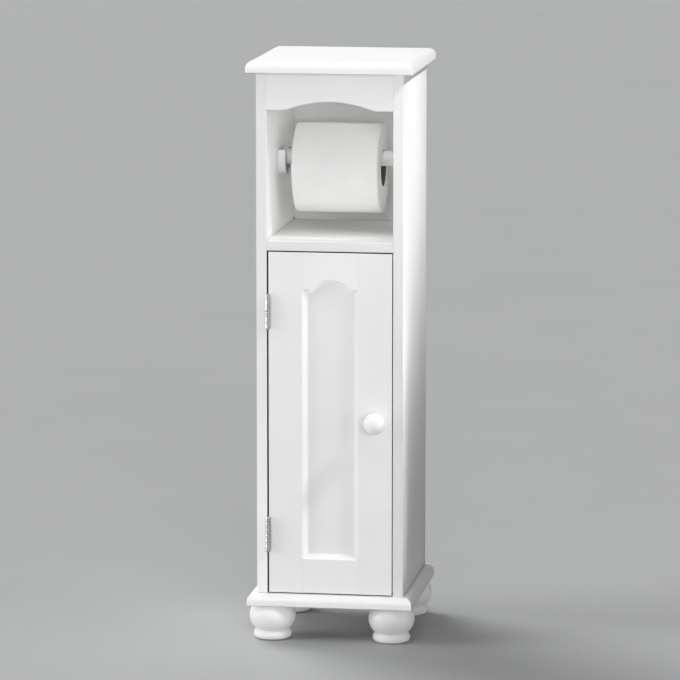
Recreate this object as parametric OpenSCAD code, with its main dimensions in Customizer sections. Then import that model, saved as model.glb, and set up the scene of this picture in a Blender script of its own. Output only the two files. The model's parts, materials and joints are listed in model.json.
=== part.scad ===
// Narrow free-standing bathroom cabinet: an open nook with a toilet roll on a
// lift-out bar, and a tall cupboard below with one framed door on two butt hinges.
// Millimetres. +Z is up, -Y is the front (door side), the floor is Z = 0 and the
// origin is on the floor at the centre of the whole object's footprint box.

/* [Carcass] */
// Outside width over the two side panels
body_w = 170; // [164:1:200]
// Depth of the side panels, front to back
body_d = 195; // [190:1:230]
// Height of the side panels between the base board and the top board
carcass_h = 603; // [590:1:680]
// Thickness of the side panels, the shelf and the valance
board_t = 12; // [12:0.5:15]
// Thickness of the back panel
back_t = 4; // [3:0.5:5]
// Clear height of the open nook, shelf to top board
nook_h = 192.1; // [180:0.1:215]

/* [Top and base boards] */
// Thickness of the top board
slab_t = 13; // [13:0.1:18]
// Thickness of the base board
base_t = 13.9; // [13:0.1:18]
// Overhang at the front of the top and base boards
slab_front = 9.3; // [9:0.1:20]
// Overhang at each side of the top and base boards
slab_side = 10.9; // [9:0.1:20]
// Radius rounded over the upper edges of the top board
slab_round = 8; // [2:0.5:9]
// Radius rounded over the upper front and side edges of the base board
base_round = 9; // [2:0.5:9]

/* [Valance] */
// Height of the valance at its two ends
valance_end_h = 43; // [38:0.2:55]
// Rise of the shaped lower edge from the ends to the crown
valance_rise = 10; // [4:0.2:16]
// Length of the straight part of the lower edge at each end
valance_flat = 18.5; // [8:0.5:30]

/* [Feet] */
// Height from the floor to the underside of the base board
foot_h = 41.7; // [41:0.1:50]
// Thickness of the pad under each foot
glide_t = 1.5; // [1:0.5:3]
// Distance from the base board's side edge to the foot's centre
foot_inset = 26.4; // [24:0.1:34]
// Largest radius of the bun
bun_r = 26.7; // [24:0.1:27]

/* [Bar and roll] */
// Diameter of the wooden bar
bar_d = 18; // [14:0.5:18]
// Height of the bar's axis above the floor
bar_z = 551.4; // [548:0.2:556]
// Distance from the carcass front to the bar's axis
bar_back = 99; // [92:0.5:104]
// How far each bar cup stands out from its side panel
cup_t = 9; // [7:0.5:12]
// Radius of the rounded lower end of the cup
cup_r = 20; // [18:0.5:22]
// Outside diameter of the toilet roll
roll_d = 104.4; // [90:0.2:106]
// Width of the toilet roll
roll_w = 100; // [90:1:105]
// Inside diameter of the cardboard core
core_d = 41; // [38:0.5:46]

/* [Door] */
// Door thickness
door_t = 15; // [14:0.5:18]
// Width of each stile's flat face, moulding not counted
stile_w = 39; // [34:0.5:44]
// Height of the bottom rail's flat face, moulding not counted
rail_h = 39.8; // [34:0.1:46]
// Height of the top rail's flat face at its shoulders
top_rail_h = 41.7; // [38:0.1:50]
// Radius of the arch, at the face of the top rail
arch_r = 31.7; // [28:0.1:31.8]
// Rise of the arch above the shoulders
arch_rise = 11; // [6:0.5:14]
// Width of the moulding round the panel
mould_w = 5.8; // [4:0.2:7]
// Depth of the recessed panel below the door's face
panel_depth = 6.3; // [5:0.1:6.5]
// Thickness of the door panel
panel_t = 5; // [4:0.5:5]
// Gap at the hinge side of the door
gap_hinge = 2.0; // [2:0.1:3]
// Gap at the lock side of the door
gap_lock = 1.2; // [1:0.1:2.5]
// Gap above and below the door
gap_z = 1.3; // [1:0.1:2.5]
// How far the knob stands out from the door
knob_out = 25; // [22:0.5:32]
// Largest diameter of the knob
knob_d = 25; // [20:0.5:28]
// Height of the knob's axis above the floor
knob_z = 259; // [200:1:400]

/* [Hinges and catch] */
// Length of each butt hinge
hinge_l = 40; // [36:1:50]
// Outside diameter of the knuckles
knuckle_d = 5.8; // [5:0.1:6]
// Diameter of the hinge pin
pin_d = 2.7; // [2.2:0.1:3]
// Height of the upper hinge's centre above the floor
hinge_top_z = 384.3; // [360:0.1:420]
// Height of the lower hinge's centre above the floor
hinge_low_z = 125.2; // [100:0.1:150]
// Thickness of a hinge leaf
leaf_t = 0.9; // [0.7:0.05:0.95]

/* [Hidden] */

$fn = 64;
e = 0.01;                                   // cutters pass this far beyond a face
fit = 0.05;                                 // radial clearance of a running or dowel fit

white_paint = [0.93, 0.93, 0.92];
bare_wood = [0.80, 0.66, 0.46];
nickel = [0.72, 0.70, 0.67];
zinc = [0.62, 0.64, 0.66];
paper = [0.96, 0.96, 0.95];
card = [0.72, 0.62, 0.48];

y_f = (knob_out - body_d) / 2;              // carcass front plane
y_b = y_f + body_d;                         // carcass back plane
z_b0 = foot_h;                              // underside of the base board
z_b1 = foot_h + base_t;                     // top of the base board
z_t0 = z_b1 + carcass_h;                    // underside of the top board
z_t1 = z_t0 + slab_t;                       // top of the top board
xi = body_w / 2 - board_t;                  // inner face of a side panel
xo = body_w / 2;
z_s1 = z_t0 - nook_h;                       // top of the middle shelf
z_s0 = z_s1 - board_t;
y_bar = y_f + bar_back;
rebate = 6;                                 // how far the back panel lies over a side panel

slab_w = body_w + 2 * slab_side;
slab_d = body_d + slab_front;
foot_x = slab_w / 2 - foot_inset;
foot_yf = y_f + 16;
foot_yb = y_b - 27;

// door
dx0 = -xi + gap_hinge;                      // hinge edge
dx1 = xi - gap_lock;                        // lock edge
dz0 = z_b1 + gap_z;
dz1 = z_s0 - gap_z;
dy0 = y_f;                                  // face of the door
dy1 = y_f + door_t;
dxc = (dx0 + dx1) / 2;
sx0 = dx0 + stile_w;                        // inner edges of the stiles' flat faces
sx1 = dx1 - stile_w;
bz = dz0 + rail_h;                          // top edge of the bottom rail's flat face
tz = dz1 - top_rail_h;                      // the top rail's shoulders, at its face
arch_z = tz + arch_rise - arch_r;           // centre of the arch
groove_deep = 8;
panel_in = 7;                               // how far the panel runs into the grooves
y_panel = dy0 + panel_depth;

// hinge axis
hinge_x = -xi + gap_hinge - 0.2;
hinge_y = y_f - knuckle_d / 2 - 0.1;
knuckles = 6;
knuckle_gap = 0.3;
knuckle_l = (hinge_l - (knuckles - 1) * knuckle_gap) / knuckles;
leaf_deep = 12.5;                           // how far a leaf reaches back from the front
screw_zs = [-14, 0, 14];

// roll
r_roll = roll_d / 2;
r_core_in = core_d / 2;
r_core_out = r_core_in + 1;
z_roll = bar_z + bar_d / 2 + 0.25 - r_core_in;
x_roll = -2.3;

// ---------- shared shapes ----------

// a board lying flat, its upper edges at the front and both sides rounded over,
// and the upper back edge as well where rear is true
module slab(z0, t, r, rear) {
    intersection() {
        translate([0, y_b + e, z0]) rotate([90, 0, 0])
            linear_extrude(slab_d + 2 * e)
                polygon(slab_section(-slab_w / 2, slab_w / 2, t, r, true));
        translate([-slab_w / 2 - 1, 0, z0]) rotate([90, 0, 90])
            linear_extrude(slab_w + 2)
                polygon(slab_section(y_b - slab_d, y_b, t, r, rear));
    }
}

// section of a board from a to b, t thick: the upper corner at a rounded, and at b too if both
function slab_section(a, b, t, r, both) = concat(
    [[a, 0]],
    [for (i = [0 : 12]) [a + r - r * cos(i * 7.5), t - r + r * sin(i * 7.5)]],
    both ? [for (i = [12 : -1 : 0]) [b - r + r * cos(i * 7.5), t - r + r * sin(i * 7.5)]]
         : [[b, t]],
    [[b, 0]]);

// a cylinder along +X from x0 to x1
module rod_x(x0, x1, y, z, r) {
    translate([x0, y, z]) rotate([0, 90, 0]) cylinder(h = x1 - x0, r = r);
}

// a cylinder along +Y from y0 to y1
module rod_y(y0, y1, x, z, r) {
    translate([x, y0, z]) rotate([-90, 0, 0]) cylinder(h = y1 - y0, r = r);
}

// a countersunk wood screw along +Z, its head flush at z = 0 and its tip at z = l
module csk_screw(l, rh, rs) {
    difference() {
        union() {
            cylinder(h = rh - rs, r1 = rh, r2 = rs);
            cylinder(h = l - 2 * rs, r = rs);
            translate([0, 0, l - 2 * rs]) cylinder(h = 2 * rs, r1 = rs, r2 = 0.25);
        }
        // cross recess
        translate([0, 0, -e]) union() {
            translate([-rh * 0.55, -rs * 0.22, 0]) cube([rh * 1.1, rs * 0.44, (rh - rs) * 0.6]);
            translate([-rs * 0.22, -rh * 0.55, 0]) cube([rs * 0.44, rh * 1.1, (rh - rs) * 0.6]);
        }
    }
}

// the room cut for such a screw
module csk_hole(l, rh, rs) {
    translate([0, 0, -e]) cylinder(h = rh - rs + e, r1 = rh + e, r2 = rs);
    cylinder(h = l - 2 * rs, r = rs);
    translate([0, 0, l - 2 * rs]) cylinder(h = 2 * rs, r1 = rs, r2 = 0.25);
}

// ---------- fastener places, each used by the piece and by what it goes through ----------

top_dowel_ys = [y_f + 25, (y_f + y_b) / 2, y_b - 25];
module top_dowel_set(r) {
    for (s = [-1, 1], y = top_dowel_ys)
        translate([s * (xo - board_t / 2), y, z_t0 - 14]) cylinder(h = 21.5, r = r);
}

base_screw_ys = [(y_f + y_b) / 2 - 42, (y_f + y_b) / 2, (y_f + y_b) / 2 + 42];
module base_screw_set(hole) {
    for (s = [-1, 1], y = base_screw_ys)
        translate([s * (xo - board_t / 2), y, z_b0])
            if (hole) csk_hole(40, 4, 2); else csk_screw(40, 4, 2);
}

shelf_dowel_ys = [y_f + 30, y_b - 35];
module shelf_dowel_set(r) {
    for (y = shelf_dowel_ys) {
        rod_x(-xi - 7, -xi + 15, y, z_s0 + board_t / 2, r);
        rod_x(xi - 15, xi + 7, y, z_s0 + board_t / 2, r);
    }
}

module valance_dowel_set(r) {
    for (dz = [12, 30]) {
        rod_x(-xi - 7, -xi + 15, y_f + board_t / 2, z_t0 - dz, r);
        rod_x(xi - 15, xi + 7, y_f + board_t / 2, z_t0 - dz, r);
    }
}

// ten pins through the panel's long edges, two into the shelf
module back_pin_set() {
    for (s = [-1, 1], i = [0 : 4])
        back_pin(s * (xi + rebate / 2), z_b1 + 30 + i * (carcass_h - 60) / 4);
    for (s = [-1, 1]) back_pin(s * xi * 0.45, z_s0 + board_t / 2);
}
module back_pin(x, z) {
    rod_y(y_b - 15, y_b - 0.6, x, z, 0.7);
    rod_y(y_b - 0.8, y_b, x, z, 1.3);
}

module foot_bolt_set(r) {
    for (x = [-foot_x, foot_x], y = [foot_yf, foot_yb])
        translate([x, y, z_b0 - 18]) cylinder(h = 27, r = r);
}

// two screws in each cup, low on either side of the slot
module cup_screw_set(hole) {
    for (s = [-1, 1], a = [-50, -130])
        translate([s * (xi - cup_t), y_bar + (cup_r + bar_d / 2) / 2 * cos(a),
                   bar_z + (cup_r + bar_d / 2) / 2 * sin(a)])
            rotate([0, s * 90, 0])
                if (hole) csk_hole(18, 3, 1.5); else csk_screw(18, 3, 1.5);
}

// three screws through each frame leaf, driven towards -X
module frame_screw_set(hole) {
    for (z = [hinge_top_z, hinge_low_z], dz = screw_zs)
        translate([-xi + leaf_t, y_f + 7, z + dz]) rotate([0, -90, 0])
            if (hole) csk_hole(10, 2.3, 1.15); else csk_screw(10, 2.3, 1.15);
}

// three screws through each door leaf, driven towards +X
module door_screw_set(hole) {
    for (z = [hinge_top_z, hinge_low_z], dz = screw_zs)
        translate([dx0 - leaf_t, y_f + 7, z + dz]) rotate([0, 90, 0])
            if (hole) csk_hole(14, 2.3, 1.15); else csk_screw(14, 2.3, 1.15);
}

// magnet catch under the shelf at the lock side
catch_x = xi - 24;
catch_w = 30;
catch_h = 11;
catch_y0 = dy1 + 1.2;
catch_d = 15;
strike_t = 0.9;

// ---------- carcass ----------

module top_board() {
    color(white_paint) difference() {
        slab(z_t0, slab_t, slab_round, true);
        top_dowel_set(3 + fit);
    }
}

module base_board() {
    color(white_paint) difference() {
        slab(z_b0, base_t, base_round, false);
        base_screw_set(true);
        foot_bolt_set(3 + fit);
    }
}

module side_panel(s) {
    difference() {
        translate([s > 0 ? xi : -xo, y_f, z_b1]) cube([board_t, body_d, carcass_h]);
        // rebate that the back panel lies in
        translate([s > 0 ? xi - e : -xi - rebate, y_b - back_t, z_b1 - e])
            cube([rebate + e, back_t + e, carcass_h + 2 * e]);
        top_dowel_set(3 + fit);
        base_screw_set(true);
        shelf_dowel_set(3 + fit);
        valance_dowel_set(2.5 + fit);
        back_pin_set();
        cup_screw_set(true);
        frame_screw_set(true);
    }
}

module left_side_panel() { color(white_paint) side_panel(-1); }
module right_side_panel() { color(white_paint) side_panel(1); }

module back_panel() {
    color(white_paint) difference() {
        translate([-xi - rebate, y_b - back_t, z_b1]) cube([2 * (xi + rebate), back_t, carcass_h]);
        back_pin_set();
    }
}

// outline of the valance: straight ends, a small rounded shoulder, then one flat
// arc over the middle, tangent to both shoulders
module valance_outline() {
    h = valance_rise;
    xf = xi - valance_flat;                 // where the shoulder meets the straight end
    rf = 20;                                // radius of the shoulder
    R = (xf * xf / h + h) / 2 - rf;         // radius of the arc
    zc = h - R;
    am = asin(xf / (R + rf));               // angle where shoulder and arc meet
    n = 24;
    polygon(concat(
        [[-xi, 0]],
        [for (i = [0 : 6]) [-xf + rf * sin(am * i / 6), rf - rf * cos(am * i / 6)]],
        [for (i = [1 : 2 * n - 1]) [R * sin(am * (i / n - 1)), zc + R * cos(am * (i / n - 1))]],
        [for (i = [6 : -1 : 0]) [xf - rf * sin(am * i / 6), rf - rf * cos(am * i / 6)]],
        [[xi, 0], [xi, valance_end_h], [-xi, valance_end_h]]));
}

module valance() {
    color(white_paint) difference() {
        translate([0, y_f + board_t, z_t0 - valance_end_h]) rotate([90, 0, 0])
            linear_extrude(board_t) valance_outline();
        valance_dowel_set(2.5 + fit);
    }
}

// the shelf's upper front edge is rounded
module middle_shelf() {
    r = 1.5;
    sd = body_d - back_t;
    color(white_paint) difference() {
        translate([-xi, y_f, z_s0]) rotate([90, 0, 90]) linear_extrude(2 * xi) union() {
            square([sd, board_t - r]);
            translate([r, 0]) square([sd - r, board_t]);
            translate([r, board_t - r]) circle(r = r);
        }
        shelf_dowel_set(3 + fit);
        back_pin_set();
        catch_screw_set(true);
    }
}

// ---------- feet ----------

// turned bun foot: a bowl-shaped bun over a rounded ring, with a sharp neck between
module foot_outline() {
    zc = 26.8;
    rn = 18.3;                              // neck radius
    zn = 10.9;
    R = (pow(bun_r - rn, 2) + pow(zc - zn, 2)) / (2 * (bun_r - rn));
    intersection() {
        union() {
            translate([bun_r - R, zc]) circle(r = R, $fn = 128);
            translate([15.9, 5.4]) circle(r = 6);
            square([15.9, foot_h]);
        }
        translate([0, glide_t]) square([40, foot_h - glide_t]);
    }
}

module foot(x, y) {
    color(white_paint) difference() {
        translate([x, y, 0]) rotate_extrude($fn = 96) intersection() {
            foot_outline();
            square([40, 60]);
        }
        foot_bolt_set(3 + fit);
    }
}

module front_left_foot() { foot(-foot_x, foot_yf); }
module front_right_foot() { foot(foot_x, foot_yf); }
module rear_left_foot() { foot(-foot_x, foot_yb); }
module rear_right_foot() { foot(foot_x, foot_yb); }

module foot_bolts() { color(zinc) foot_bolt_set(3); }

module foot_glides() {
    color([0.74, 0.73, 0.70])
        for (x = [-foot_x, foot_x], y = [foot_yf, foot_yb])
            translate([x, y, 0]) cylinder(h = glide_t, r = 17);
}

// ---------- fasteners ----------

module base_screws() { color(zinc) base_screw_set(false); }
module top_dowels() { color(bare_wood) top_dowel_set(3); }
module shelf_dowels() { color(bare_wood) shelf_dowel_set(3); }
module valance_dowels() { color(bare_wood) valance_dowel_set(2.5); }
module back_panel_pins() { color(zinc) back_pin_set(); }
module bar_cup_screws() { color(zinc) cup_screw_set(false); }
module hinge_frame_screws() { color(nickel) frame_screw_set(false); }
module hinge_door_screws() { color(nickel) door_screw_set(false); }

// ---------- bar and its cups ----------

// U-shaped cup: flat top, half-round bottom, slot open at the top
module bar_cup(s) {
    slot_r = bar_d / 2 + 0.3;
    top = bar_d / 2 + 1;
    color(white_paint) difference() {
        translate([s > 0 ? xi - cup_t : -xi, y_bar, bar_z]) rotate([90, 0, 90])
            linear_extrude(cup_t) difference() {
                union() {
                    circle(r = cup_r);
                    translate([-cup_r, 0]) square([2 * cup_r, top]);
                }
                translate([-cup_r - 1, top]) square([2 * cup_r + 2, cup_r]);
                circle(r = slot_r);
                translate([-slot_r, 0]) square([2 * slot_r, top + 1]);
            }
        cup_screw_set(true);
    }
}

module left_bar_cup() { bar_cup(-1); }
module right_bar_cup() { bar_cup(1); }

// plain dowel with its ends eased
module roll_bar() {
    r = bar_d / 2;
    l = 2 * xi - 0.8;
    color(white_paint) translate([-l / 2, y_bar, bar_z]) rotate([0, 90, 0]) union() {
        translate([0, 0, 1]) cylinder(h = l - 2, r = r);
        cylinder(h = 1, r1 = r - 1, r2 = r);
        translate([0, 0, l - 1]) cylinder(h = 1, r1 = r, r2 = r - 1);
    }
}

// wound paper, hanging by its core from the bar
module paper_roll() {
    rr = 2.5;                               // rounding of the roll's outer edges
    color(paper) translate([x_roll - roll_w / 2, y_bar, z_roll]) rotate([0, 90, 0])
        rotate_extrude($fn = 128) difference() {
            union() {
                square([r_roll - rr, roll_w]);
                translate([0, rr]) square([r_roll, roll_w - 2 * rr]);
                translate([r_roll - rr, rr]) circle(r = rr, $fn = 32);
                translate([r_roll - rr, roll_w - rr]) circle(r = rr, $fn = 32);
            }
            translate([-1, -1]) square([r_core_out + 1, roll_w + 2]);
        }
}

module roll_core() {
    color(card) difference() {
        rod_x(x_roll - roll_w / 2, x_roll + roll_w / 2, y_bar, z_roll, r_core_out);
        rod_x(x_roll - roll_w / 2 - 1, x_roll + roll_w / 2 + 1, y_bar, z_roll, r_core_in);
    }
}

// ---------- hinges ----------

// knuckles k0, k0 + 2, ... of a hinge centred at z
module knuckle_set(z, k0) {
    for (k = [k0 : 2 : knuckles - 1])
        translate([hinge_x, hinge_y, z - hinge_l / 2 + k * (knuckle_l + knuckle_gap)])
            cylinder(h = knuckle_l, r = knuckle_d / 2);
}

// a leaf: a plate in the gap, with tabs that run out to its own knuckles
module hinge_leaf(z, k0, x0, hole) {
    x1 = x0 + leaf_t;
    difference() {
        union() {
            translate([x0, y_f, z - hinge_l / 2]) cube([leaf_t, leaf_deep, hinge_l]);
            for (k = [k0 : 2 : knuckles - 1])
                translate([x0, hinge_y, z - hinge_l / 2 + k * (knuckle_l + knuckle_gap)])
                    cube([leaf_t, y_f - hinge_y + e, knuckle_l]);
            knuckle_set(z, k0);
        }
        translate([hinge_x, hinge_y, z - hinge_l / 2 - 1])
            cylinder(h = hinge_l + 2, r = pin_d / 2 + fit);
        if (hole) frame_screw_set(true); else door_screw_set(true);
    }
}

module upper_hinge_frame_leaf() { color(nickel) hinge_leaf(hinge_top_z, 0, -xi, true); }
module lower_hinge_frame_leaf() { color(nickel) hinge_leaf(hinge_low_z, 0, -xi, true); }
module upper_hinge_door_leaf() { color(nickel) hinge_leaf(hinge_top_z, 1, dx0 - leaf_t, false); }
module lower_hinge_door_leaf() { color(nickel) hinge_leaf(hinge_low_z, 1, dx0 - leaf_t, false); }

// headed pin through all the knuckles
module hinge_pin(z) {
    color(nickel) translate([hinge_x, hinge_y, z - hinge_l / 2 - 0.3]) union() {
        cylinder(h = hinge_l + 0.6, r = pin_d / 2);
        translate([0, 0, hinge_l + 0.5]) cylinder(h = 0.9, r1 = 2.4, r2 = 1.5);
        translate([0, 0, -0.8]) cylinder(h = 0.9, r1 = 1.5, r2 = 2.4);
    }
}
module upper_hinge_pin() { hinge_pin(hinge_top_z); }
module lower_hinge_pin() { hinge_pin(hinge_low_z); }

// ---------- magnet catch ----------

module catch_screw_set(hole) {
    for (s = [-1, 1])
        translate([catch_x + s * (catch_w / 2 - 4), catch_y0 + catch_d / 2, z_s0 - catch_h])
            if (hole) csk_hole(20, 3, 1.5); else csk_screw(20, 3, 1.5);
}

module catch_inner(c) {
    translate([catch_x - 7 - c, catch_y0 - 1, z_s0 - catch_h + 1.5])
        cube([14 + 2 * c, 11, 8]);
}

module catch_case() {
    color([0.95, 0.95, 0.94]) difference() {
        translate([catch_x - catch_w / 2, catch_y0, z_s0 - catch_h]) cube([catch_w, catch_d, catch_h]);
        catch_inner(0);
        catch_screw_set(true);
    }
}

// magnet block between the two steel plates
module catch_magnet() {
    color([0.20, 0.20, 0.21])
        translate([catch_x - 7, catch_y0, z_s0 - catch_h + 3]) cube([14, 10, 5]);
}

// the plates stand slightly proud of the case, towards the door
module catch_pole_plates() {
    color(zinc) for (z = [z_s0 - catch_h + 1.5, z_s0 - catch_h + 8])
        translate([catch_x - 7, catch_y0 - 0.1, z]) cube([14, 10.1, 1.5]);
}

module catch_screws() { color(zinc) catch_screw_set(false); }

// steel plate on the back of the door, facing the magnet
strike_z = z_s0 - catch_h / 2 - 0.3;
module strike_screw_set(hole) {
    translate([catch_x, dy1 + strike_t, strike_z - 10]) rotate([90, 0, 0])
        if (hole) csk_hole(11, 2.6, 1.3); else csk_screw(11, 2.6, 1.3);
}

module strike_plate() {
    color(zinc) difference() {
        translate([catch_x - 9, dy1, strike_z - 15]) cube([18, strike_t, 18]);
        strike_screw_set(true);
    }
}

module strike_screw() { color(zinc) strike_screw_set(false); }

// ---------- door ----------

// Moulding section: from the flat face (u = 0, v = 0) an ogee runs in by mould_w
// and back by panel_depth: a small step, a round shoulder, then a hollow.
// u is measured into the opening, v back from the face.
ogee_step = panel_depth * 0.16;
ogee_r1 = min(mould_w * 0.45, (panel_depth - ogee_step) * 0.5);
ogee_r2 = min(mould_w * 0.42, (panel_depth - ogee_step) * 0.47);
ogee_a = mould_w - ogee_r1 - ogee_r2;
ogee = concat(
    [[0, 0], [0, ogee_step]],
    [for (i = [0 : 5]) [ogee_a + ogee_r1 * sin(i * 18), ogee_step + ogee_r1 * (1 - cos(i * 18))]],
    [for (i = [1 : 5]) [mould_w - ogee_r2 * cos(i * 18), ogee_step + ogee_r1 + ogee_r2 * sin(i * 18)]],
    [[mould_w, panel_depth]]);

// air in front of the moulding along a straight edge: u first, v second
module ogee_air() {
    polygon(concat([[0, -1]], ogee, [[mould_w + 1, panel_depth], [mould_w + 1, -1]]));
}

// the same section with v first and u second
module ogee_air_vu() {
    polygon([for (p = concat([[0, -1]], ogee, [[mould_w + 1, panel_depth], [mould_w + 1, -1]]))
        [p[1], p[0]]]);
}

// section of a stile from its flat face inwards, with the groove for the panel;
// u = 0 is the inner edge of the flat face
module stile_section(w) {
    polygon(concat([[-w, door_t], [-w, 0]], ogee,
        [[mould_w - groove_deep, panel_depth],
         [mould_w - groove_deep, panel_depth + panel_t],
         [mould_w, panel_depth + panel_t], [mould_w, door_t]]));
}

module stile_blank(s, w, z0, z1) {
    translate([s < 0 ? sx0 : sx1, dy0, z0]) mirror([s < 0 ? 0 : 1, 0, 0])
        linear_extrude(z1 - z0) stile_section(w);
}

module door_hinge_stile() {
    color(white_paint) difference() {
        stile_blank(-1, stile_w, dz0, dz1);
        door_screw_set(true);
    }
}

module door_lock_stile() {
    color(white_paint) difference() {
        stile_blank(1, stile_w, dz0, dz1);
        knob_screw_hole();
        strike_screw_set(true);
    }
}

// a rail runs between the stiles and is shaped over their mouldings, with a short
// tongue in their grooves
module rail_blank(z0, z1) {
    t = mould_w - groove_deep + 0.5;
    difference() {
        union() {
            translate([sx0, dy0, z0]) cube([sx1 - sx0, door_t, z1 - z0]);
            translate([sx0 + t, y_panel, z0]) cube([sx1 - sx0 - 2 * t, panel_t, z1 - z0]);
        }
        for (s = [-1, 1]) stile_blank(s, 20, z0 - 1, z1 + 1);
    }
}

module door_bottom_rail() {
    color(white_paint) difference() {
        rail_blank(dz0, bz + mould_w);
        // moulding along the upper edge
        translate([sx0 - 12, dy0, bz]) rotate([90, 0, 90]) linear_extrude(sx1 - sx0 + 24)
            ogee_air_vu();
        // groove for the panel
        translate([sx0 - 12, y_panel, bz + mould_w - groove_deep])
            cube([sx1 - sx0 + 24, panel_t, groove_deep + 1]);
    }
}

module door_top_rail() {
    color(white_paint) difference() {
        rail_blank(tz - mould_w, dz1);
        // moulding along the shoulders
        translate([sx0 - 12, dy0, tz]) mirror([0, 0, 1]) rotate([90, 0, 90])
            linear_extrude(sx1 - sx0 + 24) ogee_air_vu();
        // moulding round the arch, and the clear arch behind it
        translate([dxc, dy0, arch_z]) rotate([-90, 0, 0]) rotate_extrude($fn = 128)
            polygon(concat([[0, -1], [arch_r, -1]],
                [for (p = ogee) [arch_r - p[0], p[1]]],
                [[arch_r - mould_w, door_t + 1], [0, door_t + 1]]));
        // groove for the panel
        translate([sx0 - 12, y_panel, tz - mould_w - 1])
            cube([sx1 - sx0 + 24, panel_t, groove_deep + 1]);
        translate([dxc, y_panel, arch_z]) rotate([-90, 0, 0])
            cylinder(h = panel_t, r = arch_r - mould_w + groove_deep, $fn = 128);
    }
}

// flat panel with an arched top, loose in the grooves
module door_panel() {
    k = panel_in;
    x0 = sx0 + mould_w - k;
    x1 = sx1 - mould_w + k;
    z0 = bz + mould_w - k;
    z1 = tz - mould_w + k;
    color(white_paint) translate([0, y_panel + panel_t, 0]) rotate([90, 0, 0])
        linear_extrude(panel_t) union() {
            translate([x0, z0]) square([x1 - x0, z1 - z0]);
            translate([dxc, arch_z]) circle(r = arch_r - mould_w + k, $fn = 128);
        }
}

knob_x = (sx1 + dx1) / 2 + 0.9;
module knob_screw_hole() { rod_y(dy0 - e, dy1 + e, knob_x, knob_z, 2 + fit); }

// turned knob: small collar, short neck and a ball
module door_knob() {
    R = knob_d / 2;
    color(white_paint) difference() {
        translate([knob_x, dy0, knob_z]) rotate([90, 0, 0]) rotate_extrude()
            intersection() {
                union() {
                    square([7.6, 1.6]);
                    translate([6.4, 1.6]) circle(r = 1.2, $fn = 32);
                    square([6.2, knob_out - R]);
                    translate([0, knob_out - R]) circle(r = R, $fn = 96);
                }
                square([R + 1, knob_out]);
            }
        rod_y(dy0 - 13, dy0 + 1, knob_x, knob_z, 2 + fit);
    }
}

// pan-head screw from inside the door into the knob
module knob_screw() {
    color(zinc) difference() {
        union() {
            rod_y(dy0 - 12, dy1 + 0.5, knob_x, knob_z, 2);
            rod_y(dy1, dy1 + 1.6, knob_x, knob_z, 3.8);
            translate([knob_x, dy1 + 1.6, knob_z]) rotate([-90, 0, 0])
                cylinder(h = 0.7, r1 = 3.8, r2 = 2.6);
        }
        for (q = [[4.4, 0.9], [0.9, 4.4]])
            translate([knob_x - q[0] / 2, dy1 + 1, knob_z - q[1] / 2]) cube([q[0], 2, q[1]]);
    }
}

// ---------- the object ----------

top_board();
left_side_panel();
right_side_panel();
back_panel();
valance();
middle_shelf();
base_board();
front_left_foot();
front_right_foot();
rear_left_foot();
rear_right_foot();
foot_bolts();
foot_glides();
base_screws();
top_dowels();
shelf_dowels();
valance_dowels();
back_panel_pins();
left_bar_cup();
right_bar_cup();
bar_cup_screws();
upper_hinge_frame_leaf();
lower_hinge_frame_leaf();
hinge_frame_screws();
upper_hinge_pin();
lower_hinge_pin();
catch_case();
catch_magnet();
catch_pole_plates();
catch_screws();
door_hinge_stile();
door_lock_stile();
door_top_rail();
door_bottom_rail();
door_panel();
door_knob();
knob_screw();
upper_hinge_door_leaf();
lower_hinge_door_leaf();
hinge_door_screws();
strike_plate();
strike_screw();
roll_bar();
paper_roll();
roll_core();
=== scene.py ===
import bpy
import bmesh
import json
import math
import random
from mathutils import Matrix, Vector

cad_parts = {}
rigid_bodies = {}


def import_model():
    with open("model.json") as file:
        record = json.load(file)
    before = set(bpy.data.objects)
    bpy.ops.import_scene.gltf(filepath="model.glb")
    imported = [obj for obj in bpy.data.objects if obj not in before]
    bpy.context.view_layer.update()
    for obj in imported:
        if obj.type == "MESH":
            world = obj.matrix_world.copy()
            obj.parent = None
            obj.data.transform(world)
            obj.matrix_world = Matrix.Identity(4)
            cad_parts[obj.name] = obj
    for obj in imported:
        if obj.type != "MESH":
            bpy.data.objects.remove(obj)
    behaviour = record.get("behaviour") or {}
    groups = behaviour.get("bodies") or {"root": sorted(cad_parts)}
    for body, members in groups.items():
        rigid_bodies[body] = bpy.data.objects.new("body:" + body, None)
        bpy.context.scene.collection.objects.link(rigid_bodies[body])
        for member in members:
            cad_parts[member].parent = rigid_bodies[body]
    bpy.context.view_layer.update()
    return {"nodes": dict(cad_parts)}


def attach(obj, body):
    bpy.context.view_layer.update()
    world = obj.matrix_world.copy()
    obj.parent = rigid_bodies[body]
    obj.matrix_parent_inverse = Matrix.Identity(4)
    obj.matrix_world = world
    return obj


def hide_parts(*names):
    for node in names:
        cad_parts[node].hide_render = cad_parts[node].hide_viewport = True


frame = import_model()
NODES = frame["nodes"]
scene = bpy.context.scene


# ---------------------------------------------------------------- sizes (mm)
# The same figures as the construction; every length below is in millimetres
# until a mesh is made.
body_w, body_d, carcass_h = 170.0, 195.0, 603.0
board_t, back_t, nook_h = 12.0, 4.0, 192.1
slab_t, base_t, slab_front, slab_side = 13.0, 13.9, 9.3, 10.9
slab_round, base_round = 8.0, 9.0
valance_end_h, valance_rise, valance_flat = 43.0, 10.0, 18.5
foot_h, glide_t, foot_inset, bun_r = 41.7, 1.5, 26.4, 26.7
bar_d, bar_z, bar_back, cup_t, cup_r = 18.0, 551.4, 99.0, 9.0, 20.0
roll_d, roll_w, core_d = 104.4, 100.0, 41.0
door_t, stile_w, rail_h, top_rail_h = 15.0, 39.0, 39.8, 41.7
arch_r, arch_rise, mould_w, panel_depth, panel_t = 31.7, 11.0, 5.8, 6.3, 5.0
gap_hinge, gap_lock, gap_z = 2.0, 1.2, 1.3
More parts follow.
